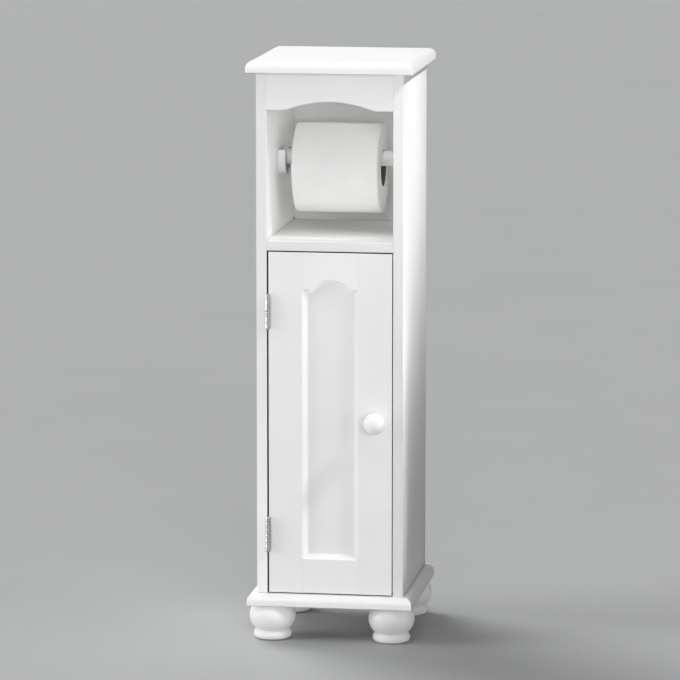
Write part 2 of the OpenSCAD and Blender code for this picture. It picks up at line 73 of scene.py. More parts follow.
knob_out, knob_d, knob_z = 25.0, 25.0, 259.0
hinge_l, knuckle_d, pin_d, leaf_t = 40.0, 5.8, 2.7, 0.9
hinge_zs = {"upper": 384.3, "lower": 125.2}

y_f = (knob_out - body_d) / 2
y_b = y_f + body_d
z_b0, z_b1 = foot_h, foot_h + base_t
z_t0 = z_b1 + carcass_h
z_t1 = z_t0 + slab_t
xi, xo = body_w / 2 - board_t, body_w / 2
z_s1 = z_t0 - nook_h
z_s0 = z_s1 - board_t
y_bar = y_f + bar_back
rebate = 6.0
slab_w, slab_d = body_w + 2 * slab_side, body_d + slab_front
foot_x = slab_w / 2 - foot_inset
foot_yf, foot_yb = y_f + 16, y_b - 27
dx0, dx1 = -xi + gap_hinge, xi - gap_lock
dz0, dz1 = z_b1 + gap_z, z_s0 - gap_z
dxc = (dx0 + dx1) / 2
sx0, sx1 = dx0 + stile_w, dx1 - stile_w
bz, tz = dz0 + rail_h, dz1 - top_rail_h
arch_z = tz + arch_rise - arch_r
y_panel = y_f + panel_depth
knob_x = (sx1 + dx1) / 2 + 0.9
hinge_x, hinge_y = -xi + gap_hinge - 0.2, y_f - knuckle_d / 2 - 0.1
r_core_in = core_d / 2
r_core_out = r_core_in + 1
r_roll = roll_d / 2
z_roll = bar_z + bar_d / 2 + 0.25 - r_core_in
x_roll = -2.3


# ---------------------------------------------------------------- materials
def new_mat(name):
    m = bpy.data.materials.new(name)
    m.use_nodes = True
    nt = m.node_tree
    nt.nodes.clear()
    out = nt.nodes.new("ShaderNodeOutputMaterial")
    bsdf = nt.nodes.new("ShaderNodeBsdfPrincipled")
    nt.links.new(bsdf.outputs["BSDF"], out.inputs["Surface"])
    return m, nt, bsdf


def coords(nt, scale=(1, 1, 1), rot=(0, 0, 0), loc=(0, 0, 0)):
    tc = nt.nodes.new("ShaderNodeTexCoord")
    mp = nt.nodes.new("ShaderNodeMapping")
    mp.inputs["Scale"].default_value = scale
    mp.inputs["Rotation"].default_value = rot
    mp.inputs["Location"].default_value = loc
    nt.links.new(tc.outputs["Object"], mp.inputs["Vector"])
    return mp.outputs["Vector"]


def noise(nt, vec, scale, detail=3.0, rough=0.5, distortion=0.0):
    n = nt.nodes.new("ShaderNodeTexNoise")
    n.inputs["Scale"].default_value = scale
    n.inputs["Detail"].default_value = detail
    n.inputs["Roughness"].default_value = rough
    n.inputs["Distortion"].default_value = distortion
    nt.links.new(vec, n.inputs["Vector"])
    return n.outputs["Fac"]


def ramp(nt, fac, stops):
    r = nt.nodes.new("ShaderNodeValToRGB")
    els = r.color_ramp.elements
    while len(els) < len(stops):
        els.new(0.5)
    for e, (p, c) in zip(els, stops):
        e.position = p
        e.color = (*c, 1.0) if len(c) == 3 else c
    nt.links.new(fac, r.inputs["Fac"])
    return r.outputs["Color"]


def rng(nt, fac, lo, hi, a=0.0, b=1.0):
    n = nt.nodes.new("ShaderNodeMapRange")
    n.inputs["From Min"].default_value = a
    n.inputs["From Max"].default_value = b
    n.inputs["To Min"].default_value = lo
    n.inputs["To Max"].default_value = hi
    nt.links.new(fac, n.inputs["Value"])
    return n.outputs["Result"]


def math_node(nt, op, a, b=None):
    n = nt.nodes.new("ShaderNodeMath")
    n.operation = op
    for i, v in enumerate((a, b)):
        if v is None:
            continue
        if isinstance(v, (int, float)):
            n.inputs[i].default_value = v
        else:
            nt.links.new(v, n.inputs[i])
    return n.outputs[0]


def bump(nt, height, dist, strength=1.0, normal=None):
    b = nt.nodes.new("ShaderNodeBump")
    b.inputs["Strength"].default_value = strength
    b.inputs["Distance"].default_value = dist
    nt.links.new(height, b.inputs["Height"])
    if normal is not None:
        nt.links.new(normal, b.inputs["Normal"])
    return b.outputs["Normal"]


WHITE_A = (0.850, 0.850, 0.843)
WHITE_B = (0.885, 0.885, 0.878)


def painted_gap_shade(nt, col, reach=0.0060, darkest_shade=0.04):
    """Painted shade: the colour goes dark by ambient occlusion in narrow gaps, joints and recesses, within a few
    millimetres.
    """
    ao = nt.nodes.new("ShaderNodeAmbientOcclusion")
    ao.samples = 6
    ao.inputs["Distance"].default_value = reach
    fac = ramp(nt, ao.outputs["AO"], [(0.26, (0, 0, 0)), (0.48, (1, 1, 1))])
    mix = nt.nodes.new("ShaderNodeMix")
    mix.data_type = "RGBA"
    nt.links.new(fac, mix.inputs[0])
    mix.inputs[6].default_value = (darkest_shade, darkest_shade * 0.97, darkest_shade * 0.93, 1)
    nt.links.new(col, mix.inputs[7])
    return mix.outputs[2]


def paint(name, grain, seed=0.0, gap_shade=True):
    """White satin paint over wood. grain is the axis the boards' grain runs along."""
    m, nt, bsdf = new_mat(name)
    across, along = 620.0, 9.0
    sc = [across, across, across]
    sc["XYZ".index(grain)] = along
    vec = coords(nt, tuple(sc), loc=(seed, seed * 1.7, seed * 0.6))
    fine = noise(nt, vec, 1.0, 4.0, 0.62, 0.25)
    sc2 = [90.0, 90.0, 90.0]
    sc2["XYZ".index(grain)] = 2.2
    broad = noise(nt, coords(nt, tuple(sc2), loc=(seed, 0, 2.0)), 1.0, 3.0, 0.5, 0.8)
    peel = noise(nt, coords(nt, loc=(0, 0, seed)), 750.0, 2.0, 0.5)
    cloud = noise(nt, coords(nt, loc=(seed, 3.0, 0)), 14.0, 2.0, 0.5)
    tone = math_node(nt, "ADD", math_node(nt, "MULTIPLY", cloud, 0.7),
                     math_node(nt, "MULTIPLY", broad, 0.3))
    col = ramp(nt, tone, [(0.30, WHITE_A), (0.70, WHITE_B)])
    # painted shade: unless switched off, the colour darkens by ambient occlusion in narrow gaps and recesses
    nt.links.new(painted_gap_shade(nt, col) if gap_shade else col, bsdf.inputs["Base Color"])
    nt.links.new(rng(nt, cloud, 0.38, 0.48), bsdf.inputs["Roughness"])
    n1 = bump(nt, broad, 0.00006, 0.55)
    n2 = bump(nt, fine, 0.000022, 0.6, n1)
    n3 = bump(nt, peel, 0.000010, 0.6, n2)
    nt.links.new(n3, bsdf.inputs["Normal"])
    bsdf.inputs["IOR"].default_value = 1.5
    return m


def metal(name, base, rough, brush_axis="Z", tint=0.06, fine=0.00001):
    m, nt, bsdf = new_mat(name)
    sc = [900.0, 900.0, 900.0]
    sc["XYZ".index(brush_axis)] = 60.0
    br = noise(nt, coords(nt, tuple(sc)), 1.0, 3.0, 0.6)
    blot = noise(nt, coords(nt), 160.0, 3.0, 0.5)
    dark = tuple(c * (1 - tint * 2) for c in base)
    light = tuple(min(1.0, c * (1 + tint)) for c in base)
    nt.links.new(ramp(nt, blot, [(0.25, dark), (0.75, light)]), bsdf.inputs["Base Color"])
    nt.links.new(rng(nt, blot, rough - 0.06, rough + 0.08), bsdf.inputs["Roughness"])
    nt.links.new(bump(nt, br, fine, 0.7), bsdf.inputs["Normal"])
    bsdf.inputs["Metallic"].default_value = 1.0
    return m


def bare_wood_mat():
    m, nt, bsdf = new_mat("bare_beech")
    vec = coords(nt, (14.0, 420.0, 420.0))
    g = noise(nt, vec, 1.0, 4.0, 0.6, 0.4)
    nt.links.new(ramp(nt, g, [(0.3, (0.50, 0.34, 0.19)), (0.7, (0.66, 0.48, 0.29))]),
                 bsdf.inputs["Base Color"])
    nt.links.new(bump(nt, g, 0.00004, 0.6), bsdf.inputs["Normal"])
    bsdf.inputs["Roughness"].default_value = 0.62
    return m


def felt_mat():
    m, nt, bsdf = new_mat("pale_felt")
    f = noise(nt, coords(nt), 2600.0, 4.0, 0.7)
    nt.links.new(ramp(nt, f, [(0.3, (0.40, 0.39, 0.37)), (0.75, (0.58, 0.57, 0.54))]),
                 bsdf.inputs["Base Color"])
    nt.links.new(bump(nt, f, 0.0002, 0.9), bsdf.inputs["Normal"])
    bsdf.inputs["Roughness"].default_value = 0.95
    bsdf.inputs["Sheen Weight"].default_value = 0.25
    return m


def plastic_mat():
    m, nt, bsdf = new_mat("white_plastic")
    f = noise(nt, coords(nt), 1500.0, 2.0, 0.5)
    c = noise(nt, coords(nt), 60.0, 2.0, 0.5)
    nt.links.new(ramp(nt, c, [(0.3, (0.76, 0.76, 0.74)), (0.7, (0.80, 0.80, 0.78))]),
                 bsdf.inputs["Base Color"])
    nt.links.new(bump(nt, f, 0.00002, 0.5), bsdf.inputs["Normal"])
    bsdf.inputs["Roughness"].default_value = 0.45
    return m


def magnet_mat():
    m, nt, bsdf = new_mat("ferrite")
    f = noise(nt, coords(nt), 1800.0, 4.0, 0.6)
    nt.links.new(ramp(nt, f, [(0.3, (0.018, 0.018, 0.020)), (0.7, (0.035, 0.035, 0.038))]),
                 bsdf.inputs["Base Color"])
    nt.links.new(bump(nt, f, 0.00005, 0.6), bsdf.inputs["Normal"])
    bsdf.inputs["Roughness"].default_value = 0.7
    return m


def tissue_mat(name, ends):
    """Tissue paper. ends: the wound edges of the sheets, as fine rings about the roll's axis, in a darker grey that is
    partly painted shade of the end face and between the sheet edges.
    """
    m, nt, bsdf = new_mat(name)
    vec = coords(nt)
    crepe = noise(nt, coords(nt, (160.0, 900.0, 900.0)), 1.0, 4.0, 0.65, 0.3)
    fibre = noise(nt, vec, 1600.0, 4.0, 0.7)
    soft = noise(nt, coords(nt, loc=(2.0, 0, 0)), 26.0, 3.0, 0.5)
    if ends:
        tc = nt.nodes.new("ShaderNodeTexCoord")
        sep = nt.nodes.new("ShaderNodeSeparateXYZ")
        nt.links.new(tc.outputs["Object"], sep.inputs[0])
        dy = math_node(nt, "SUBTRACT", sep.outputs[1], y_bar / 1000)
        dz = math_node(nt, "SUBTRACT", sep.outputs[2], z_roll / 1000)
        r = math_node(nt, "SQRT", math_node(nt, "ADD", math_node(nt, "MULTIPLY", dy, dy),
                                            math_node(nt, "MULTIPLY", dz, dz)))
        wob = math_node(nt, "MULTIPLY", math_node(nt, "SUBTRACT", noise(nt, vec, 60.0, 2.0), 0.5), 0.0012)
        rr = math_node(nt, "ADD", r, wob)
        comb = nt.nodes.new("ShaderNodeCombineXYZ")
        nt.links.new(math_node(nt, "MULTIPLY", rr, 1300.0), comb.inputs[0])
        rings = noise(nt, comb.outputs[0], 1.0, 4.0, 0.75)
        # partly painted shade: the end face is a darker grey than the side paper, with darker rings between the wound
        # sheet edges
        col = ramp(nt, rings, [(0.30, (0.58, 0.58, 0.57)), (0.62, (0.78, 0.78, 0.77))])
        nt.links.new(col, bsdf.inputs["Base Color"])
        n1 = bump(nt, rings, 0.0005, 0.8)
        n2 = bump(nt, fibre, 0.00008, 0.6, n1)
        nt.links.new(n2, bsdf.inputs["Normal"])
    else:
        nt.links.new(ramp(nt, soft, [(0.3, (0.835, 0.835, 0.825)), (0.7, (0.875, 0.875, 0.868))]),
                     bsdf.inputs["Base Color"])
        n1 = bump(nt, soft, 0.0010, 0.25)
        n2 = bump(nt, crepe, 0.00010, 0.55, n1)
        n3 = bump(nt, fibre, 0.00006, 0.5, n2)
        nt.links.new(n3, bsdf.inputs["Normal"])
    bsdf.inputs["Roughness"].default_value = 0.92
    bsdf.inputs["Sheen Weight"].default_value = 0.15
    bsdf.inputs["Specular IOR Level"].default_value = 0.25
    return m


def card_mat():
    m, nt, bsdf = new_mat("core_board")
    vec = coords(nt)
    f = noise(nt, coords(nt, (300.0, 900.0, 900.0)), 1.0, 4.0, 0.7)
    speck = noise(nt, vec, 420.0, 3.0, 0.6)
    # the spiral seam of the wound board: position along the tube plus angle
    tc = nt.nodes.new("ShaderNodeTexCoord")
    sep = nt.nodes.new("ShaderNodeSeparateXYZ")
    nt.links.new(tc.outputs["Object"], sep.inputs[0])
    dy = math_node(nt, "SUBTRACT", sep.outputs[1], y_bar / 1000)
    dz = math_node(nt, "SUBTRACT", sep.outputs[2], z_roll / 1000)
    ang = math_node(nt, "ARCTAN2", dz, dy)
    t = math_node(nt, "ADD", math_node(nt, "MULTIPLY", sep.outputs[0], 1000.0 / 62.0),
                  math_node(nt, "MULTIPLY", ang, 1 / (2 * math.pi)))
    fr = math_node(nt, "FRACT", t)
    seam = rng(nt, math_node(nt, "ABSOLUTE", math_node(nt, "SUBTRACT", fr, 0.5)), 0.0, 1.0, 0.0, 0.02)
    seam = math_node(nt, "MINIMUM", seam, 1.0)
    base = ramp(nt, speck, [(0.25, (0.20, 0.165, 0.125)), (0.75, (0.29, 0.24, 0.185))])
    mix = nt.nodes.new("ShaderNodeMix")
    mix.data_type = "RGBA"
    nt.links.new(seam, mix.inputs[0])
    mix.inputs[6].default_value = (0.13, 0.105, 0.08, 1)
    nt.links.new(base, mix.inputs[7])
    # painted shade: the bore and the space round the bar go dark by ambient occlusion out to 30 mm
    nt.links.new(painted_gap_shade(nt, mix.outputs[2], 0.030, 0.02), bsdf.inputs["Base Color"])
    n1 = bump(nt, seam, 0.0002, 0.8)
    n2 = bump(nt, f, 0.00008, 0.7, n1)
    nt.links.new(n2, bsdf.inputs["Normal"])
    bsdf.inputs["Roughness"].default_value = 0.88
    return m


PAINT_X = paint("white_paint_x", "X", 0.3)
PAINT_Y = paint("white_paint_y", "Y", 1.9)
PAINT_Z = paint("white_paint_z", "Z", 4.1)
PAINT_FOOT = paint("white_paint_foot", "Z", 7.3, False)
PAINT_BASE = paint("white_paint_base", "X", 2.6, False)
NICKEL = metal("nickel", (0.46, 0.455, 0.445), 0.28)
ZINC = metal("zinc_steel", (0.62, 0.64, 0.67), 0.34)
BEECH = bare_wood_mat()
FELT = felt_mat()
PLASTIC = plastic_mat()
MAGNET = magnet_mat()
TISSUE = tissue_mat("tissue", False)
SHADED_TISSUE_ENDS = tissue_mat("tissue_ends_painted_shade", True)
CARD = card_mat()


# ---------------------------------------------------------------- mesh helpers
def to_obj(bm, name, mats, body, replaces=(), bevel=0.0, segs=3, angle=35.0, smooth=55.0,
           weighted=True):
    """bm is in mm. Makes the object, smooths it, and rides it on its body."""
    bmesh.ops.scale(bm, vec=(0.001, 0.001, 0.001), verts=bm.verts)
    bmesh.ops.remove_doubles(bm, verts=bm.verts, dist=1e-7)
    bmesh.ops.dissolve_degenerate(bm, dist=1e-7, edges=bm.edges)
    bmesh.ops.recalc_face_normals(bm, faces=bm.faces)
    me = bpy.data.meshes.new(name)
    bm.to_mesh(me)
    bm.free()
    for p in me.polygons:
        p.use_smooth = True
    ob = bpy.data.objects.new(name, me)
    scene.collection.objects.link(ob)
    for m in (mats if isinstance(mats, (list, tuple)) else [mats]):
        me.materials.append(m)
    if bevel > 0:
        b = ob.modifiers.new("bevel", "BEVEL")
        b.width = bevel / 1000
        b.segments = segs
        b.limit_method = "ANGLE"
        b.angle_limit = math.radians(angle)
        b.harden_normals = False
        b.miter_outer = "MITER_ARC"
        b.use_clamp_overlap = True
    mark_sharp(me, smooth if bevel <= 0 else 60.0)
    if weighted:
        w = ob.modifiers.new("weighted", "WEIGHTED_NORMAL")
        w.keep_sharp = True
        w.weight = 80
    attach(ob, body)
    if replaces:
        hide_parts(*replaces)
    return ob


def mark_sharp(me, deg):
    bm = bmesh.new()
    bm.from_mesh(me)
    lim = math.radians(deg)
    for e in bm.edges:
        e.smooth = not (len(e.link_faces) == 2 and e.calc_face_angle(0.0) > lim)
    bm.to_mesh(me)
    bm.free()


def box_bm(lo, hi):
    bm = bmesh.new()
    bmesh.ops.create_cube(bm, size=1.0)
    for v in bm.verts:
        v.co = Vector((lo[i] if v.co[i] < 0 else hi[i]) for i in range(3))
    return bm


def edges_where(bm, test):
    return [e for e in bm.edges if test(e.verts[0].co, e.verts[1].co)]


def near(a, b, tol=1e-4):
    return abs(a - b) < tol


def round_edges(bm, edges, r, segs, profile=0.5):
    if edges and r > 0:
        bmesh.ops.bevel(bm, geom=edges, offset=r, offset_type="OFFSET", segments=segs,
                        profile=profile, affect="EDGES", clamp_overlap=True)


def lathe_bm(profile, segs, axis_pt, axis="Z", closed=False):
    """profile: (r, h) points. Revolved about an axis through axis_pt. Points with r = 0 close it."""
    bm = bmesh.new()
    rings = []
    for r, h in profile:
        if r < 1e-9:
            rings.append([bm.verts.new((0, 0, h))])
        else:
            rings.append([bm.verts.new((r * math.cos(2 * math.pi * i / segs),
                                        r * math.sin(2 * math.pi * i / segs), h))
                          for i in range(segs)])
    n = len(rings)
    for k in range(n if closed else n - 1):
        a, b = rings[k], rings[(k + 1) % n]
        for i in range(segs):
            j = (i + 1) % segs
            if len(a) == 1 and len(b) == 1:
                continue
            if len(a) == 1:
                bm.faces.new((a[0], b[j], b[i]))
            elif len(b) == 1:
                bm.faces.new((a[i], a[j], b[0]))
            else:
                bm.faces.new((a[i], a[j], b[j], b[i]))
    if axis == "X":
        rot = Matrix.Rotation(math.radians(90), 4, "Y")
    elif axis == "-Y":
        rot = Matrix.Rotation(math.radians(90), 4, "X")
    elif axis == "Y":
        rot = Matrix.Rotation(math.radians(-90), 4, "X")
    else:
        rot = Matrix.Identity(4)
    bm.transform(Matrix.Translation(Vector(axis_pt)) @ rot)
    return bm


def prism_bm(outline, lo, hi, plane="XZ"):
    """A closed prism from a 2-D outline. plane XZ runs along Y, plane YZ runs along X."""
    bm = bmesh.new()

    def at(p, h):
        return (p[0], h, p[1]) if plane == "XZ" else (h, p[0], p[1])
    a = [bm.verts.new(at(p, lo)) for p in outline]
    b = [bm.verts.new(at(p, hi)) for p in outline]
    n = len(outline)
    bm.faces.new(a)
    bm.faces.new(list(reversed(b)))
    for i in range(n):
        j = (i + 1) % n
        bm.faces.new((a[i], b[i], b[j], a[j]))
    bmesh.ops.recalc_face_normals(bm, faces=bm.faces)
    return bm


def layers_bm(layers):
    """A closed solid lofted through layers of equal length: [(y, [(x, z), ...]), ...]."""
    bm = bmesh.new()
    rows = [[bm.verts.new((p[0], y, p[1])) for p in pts] for y, pts in layers]
    n = len(rows[0])
    for a, b in zip(rows, rows[1:]):
        for i in range(n):
            j = (i + 1) % n
            bm.faces.new((a[i], a[j], b[j], b[i]))
    bm.faces.new(list(reversed(rows[0])))
    bm.faces.new(rows[-1])
    bmesh.ops.remove_doubles(bm, verts=bm.verts, dist=1e-4)
    bmesh.ops.dissolve_degenerate(bm, dist=1e-4, edges=bm.edges)
    bmesh.ops.recalc_face_normals(bm, faces=bm.faces)
    return bm


def cut(ob, cutters):
    """Cuts each closed cutter mesh (bm in mm) out of ob, and applies it."""
    bm = bmesh.new()
    for c in cutters:
        me = bpy.data.meshes.new("cutter")
        c.to_mesh(me)
        c.free()
        bm.from_mesh(me)
        bpy.data.meshes.remove(me)
    bmesh.ops.scale(bm, vec=(0.001, 0.001, 0.001), verts=bm.verts)
    me = bpy.data.meshes.new("cutters")
    bm.to_mesh(me)
    bm.free()
    co = bpy.data.objects.new("cutters", me)
    scene.collection.objects.link(co)
    mod = ob.modifiers.new("cut", "BOOLEAN")
    mod.operation = "DIFFERENCE"
    mod.solver = "EXACT"
    mod.object = co
    deps = bpy.context.evaluated_depsgraph_get()
    res = bpy.data.meshes.new_from_object(ob.evaluated_get(deps))
    old = ob.data
    ob.modifiers.clear()
    ob.data = res
    res.name = old.name
    bpy.data.meshes.remove(old)
    bpy.data.objects.remove(co)
    bpy.data.meshes.remove(me)
    return ob


# ---------------------------------------------------------------- carcass
def slab(name, z0, t, r, rear):
    lo = (-slab_w / 2, y_f - slab_front, z0)
    hi = (slab_w / 2, y_b, z0 + t)
    bm = box_bm(lo, hi)
    top = hi[2]
    big = edges_where(bm, lambda a, b: near(a.z, top) and near(b.z, top)
                      and (rear or not (near(a.y, hi[1]) and near(b.y, hi[1]))))
    round_edges(bm, big, r, 14)
    return to_obj(bm, name + "_visual", PAINT_X if name == "top_board" else PAINT_BASE, "cabinet", (name,),
                  bevel=0.6, segs=3, angle=28)


slab("top_board", z_t0, slab_t, slab_round, True)
slab("base_board", z_b0, base_t, base_round, False)


def side(name, s):
    x0, x1 = (xi, xo) if s > 0 else (-xo, -xi)
    xr = xi + rebate if s > 0 else -xi - rebate
    # plan outline with the rebate at the back, inside edge
    if s > 0:
        pts = [(xi, y_f), (xo, y_f), (xo, y_b), (xr, y_b), (xr, y_b - back_t), (xi, y_b - back_t)]
    else:
        pts = [(-xo, y_f), (-xi, y_f), (-xi, y_b - back_t), (xr, y_b - back_t), (xr, y_b), (-xo, y_b)]
    bm = bmesh.new()
    a = [bm.verts.new((p[0], p[1], z_b1)) for p in pts]
    b = [bm.verts.new((p[0], p[1], z_t0)) for p in pts]
    bm.faces.new(list(reversed(a)))
    bm.faces.new(b)
    for i in range(len(pts)):
        j = (i + 1) % len(pts)
        bm.faces.new((a[i], a[j], b[j], b[i]))
    up = edges_where(bm, lambda p, q: near(p.x, q.x) and near(p.y, q.y) and near(p.y, y_f)
                     and near(abs(p.x), xo))
    round_edges(bm, up, 0.9, 3)
    return to_obj(bm, name + "_visual", PAINT_Z, "cabinet", (name,), bevel=0.35, segs=2)


side("left_side_panel", -1)
side("right_side_panel", 1)

bm = box_bm((-xi - rebate + 0.15, y_b - back_t - 0.35, z_b1 + 0.1), (xi + rebate - 0.15, y_b - 0.1, z_t0 - 0.1))
to_obj(bm, "back_panel_visual", PAINT_Z, "cabinet", ("back_panel",), bevel=0.3, segs=2)


def valance_outline():
    h, xf, rf = valance_rise, xi - valance_flat, 20.0
    R = (xf * xf / h + h) / 2 - rf
    zc = h - R
    am = math.asin(xf / (R + rf))
    n = 24
    z0 = z_t0 - valance_end_h
    x0, x1 = -xi, xi - 0.03
    pts = [(x0, 0.0)]
    pts += [(-xf + rf * math.sin(am * i / 6), rf - rf * math.cos(am * i / 6)) for i in range(7)]
    pts += [(R * math.sin(am * (i / n - 1)), zc + R * math.cos(am * (i / n - 1)))
            for i in range(1, 2 * n)]
    pts += [(xf - rf * math.sin(am * i / 6), rf - rf * math.cos(am * i / 6))
            for i in range(6, -1, -1)]
    pts += [(x1, 0.0), (x1, valance_end_h), (x0, valance_end_h)]
    return [(x, z + z0) for x, z in pts]


bm = prism_bm(valance_outline(), y_f, y_f + board_t)
low = edges_where(bm, lambda a, b: near(a.y, b.y) and a.z < z_t0 - 20 and b.z < z_t0 - 20)
round_edges(bm, low, 1.3, 4)
to_obj(bm, "valance_visual", PAINT_X, "cabinet", ("valance",), bevel=0.07, segs=2, angle=50)

bm = box_bm((-xi + 0.01, y_f, z_s0), (xi - 0.01, y_b - back_t, z_s1))
round_edges(bm, edges_where(bm, lambda a, b: near(a.y, y_f) and near(b.y, y_f)
                            and near(a.z, z_s1) and near(b.z, z_s1)), 1.5, 6)
round_edges(bm, edges_where(bm, lambda a, b: near(a.y, y_f) and near(b.y, y_f)
                            and near(a.z, z_s0) and near(b.z, z_s0)), 0.9, 3)
to_obj(bm, "middle_shelf_visual", PAINT_X, "cabinet", ("middle_shelf",), bevel=0.06, segs=2, angle=50)


# ---------------------------------------------------------------- feet
def foot_profile():
    zc, rn, zn = 26.8, 18.3, 10.9
    R = ((bun_r - rn) ** 2 + (zc - zn) ** 2) / (2 * (bun_r - rn))
    pts = [(0.0, foot_h)]
    # top face, then the bun from the board down to the neck
    a0 = math.asin((foot_h - zc) / R)
    a1 = -math.asin((zc - zn) / R)
    r_top = bun_r - R + R * math.cos(a0)
    pts += [(r_top * f, foot_h) for f in (0.35, 0.7, 0.94)]
    for i in range(0, 29):
        a = a0 + (a1 - a0) * i / 28
        pts.append((bun_r - R + R * math.cos(a), zc + R * math.sin(a)))
    # ring below the neck
    b0 = math.asin((zn - 5.4) / 6.0)
    b1 = -math.asin((5.4 - glide_t) / 6.0)
    for i in range(1, 19):
        b = b0 + (b1 - b0) * i / 18
        pts.append((15.9 + 6.0 * math.cos(b), 5.4 + 6.0 * math.sin(b)))
    rb = pts[-1][0]
    pts += [(rb * f, glide_t) for f in (0.93, 0.6, 0.3)] + [(0.0, glide_t)]
    return pts


FOOT = foot_profile()
for nm, x, y in (("front_left_foot", -foot_x, foot_yf), ("front_right_foot", foot_x, foot_yf),
                 ("rear_left_foot", -foot_x, foot_yb), ("rear_right_foot", foot_x, foot_yb)):
    bm = lathe_bm(FOOT, 96, (x, y, 0))
    to_obj(bm, nm + "_visual", PAINT_FOOT, "cabinet", (nm,), smooth=42, weighted=False)

bm = bmesh.new()
for x in (-foot_x, foot_x):
    for y in (foot_yf, foot_yb):
        b2 = lathe_bm([(0, glide_t), (15.5, glide_t), (16.6, glide_t), (17, glide_t - 0.35),
                       (17, 0.3), (16.7, 0.0), (8, 0.0), (0, 0.0)], 72, (x, y, 0))
        me = bpy.data.meshes.new("t")
        b2.to_mesh(me)
        b2.free()
        bm.from_mesh(me)
        bpy.data.meshes.remove(me)
to_obj(bm, "foot_glides_visual", FELT, "cabinet", ("foot_glides",), smooth=40, weighted=False)


# ---------------------------------------------------------------- bar cups and bar
def cup_outline():
    slot_r = bar_d / 2 + 0.3
    top = bar_d / 2 + 1
    pts = [(cup_r, top)]
    pts += [(cup_r * math.cos(-math.pi * i / 40), cup_r * math.sin(-math.pi * i / 40)) for i in range(41)]
    pts += [(-cup_r, top), (-slot_r, top)]
    pts += [(slot_r * math.cos(math.pi + math.pi * i / 28), slot_r * math.sin(math.pi + math.pi * i / 28))
            for i in range(29)]
    pts += [(slot_r, top)]
    return [(y_bar + y, bar_z + z) for y, z in pts]


for nm, s in (("left_bar_cup", -1), ("right_bar_cup", 1)):
    x0, x1 = (-xi, -xi + cup_t) if s < 0 else (xi - cup_t, xi)
    bm = prism_bm(cup_outline(), x0, x1, "YZ")
    face_x = x1 if s < 0 else x0
    round_edges(bm, edges_where(bm, lambda a, b: near(a.x, face_x) and near(b.x, face_x)), 1.1, 4)
    round_edges(bm, edges_where(bm, lambda a, b: near(a.y, b.y) and near(a.z, b.z)
                                and abs(a.x - b.x) > 3 and near(a.z, bar_z + bar_d / 2 + 1)), 0.8, 3)
    ob = to_obj(bm, nm + "_visual", PAINT_Z, "cabinet", (nm,), weighted=False, smooth=40)
    cs = []
    for a in (-50, -130):
        ra = math.radians(a)
        rr = (cup_r + bar_d / 2) / 2
        c = lathe_bm([(0, -1), (4.0, -1), (3.0, 0.0), (1.55, 1.5), (1.55, cup_t + 1), (0, cup_t + 1)], 32,
                     (0, 0, 0), "X" if s > 0 else "Z")
        if s < 0:
            c.transform(Matrix.Rotation(math.radians(-90), 4, "Y"))
        c.transform(Matrix.Translation(Vector((face_x, y_bar + rr * math.cos(ra), bar_z + rr * math.sin(ra)))))
        bmesh.ops.recalc_face_normals(c, faces=c.faces)
        cs.append(c)
    cut(ob, cs)
    mark_sharp(ob.data, 40)
    w = ob.modifiers.new("weighted", "WEIGHTED_NORMAL")
    w.keep_sharp = True

l = 2 * xi - 0.8
rb = bar_d / 2
prof = [(0, 0), (rb * 0.5, 0), (rb - 1.0, 0)]
prof += [(rb - 1.0 + 1.0 * math.sin(math.radians(q)), 1.0 - 1.0 * math.cos(math.radians(q))) for q in (22, 45, 68, 90)]
prof += [(rb, l * f) for f in (0.1, 0.3, 0.5, 0.7, 0.9)]
prof += [(rb - 1.0 + 1.0 * math.cos(math.radians(q)), l - 1.0 + 1.0 * math.sin(math.radians(q))) for q in (0, 22, 45, 68)]
prof += [(rb - 1.0, l), (rb * 0.5, l), (0, l)]
bm = lathe_bm(prof, 72, (-l / 2, y_bar, bar_z), "X")
to_obj(bm, "roll_bar_visual", PAINT_X, "bar", ("roll_bar",), smooth=50, weighted=False)


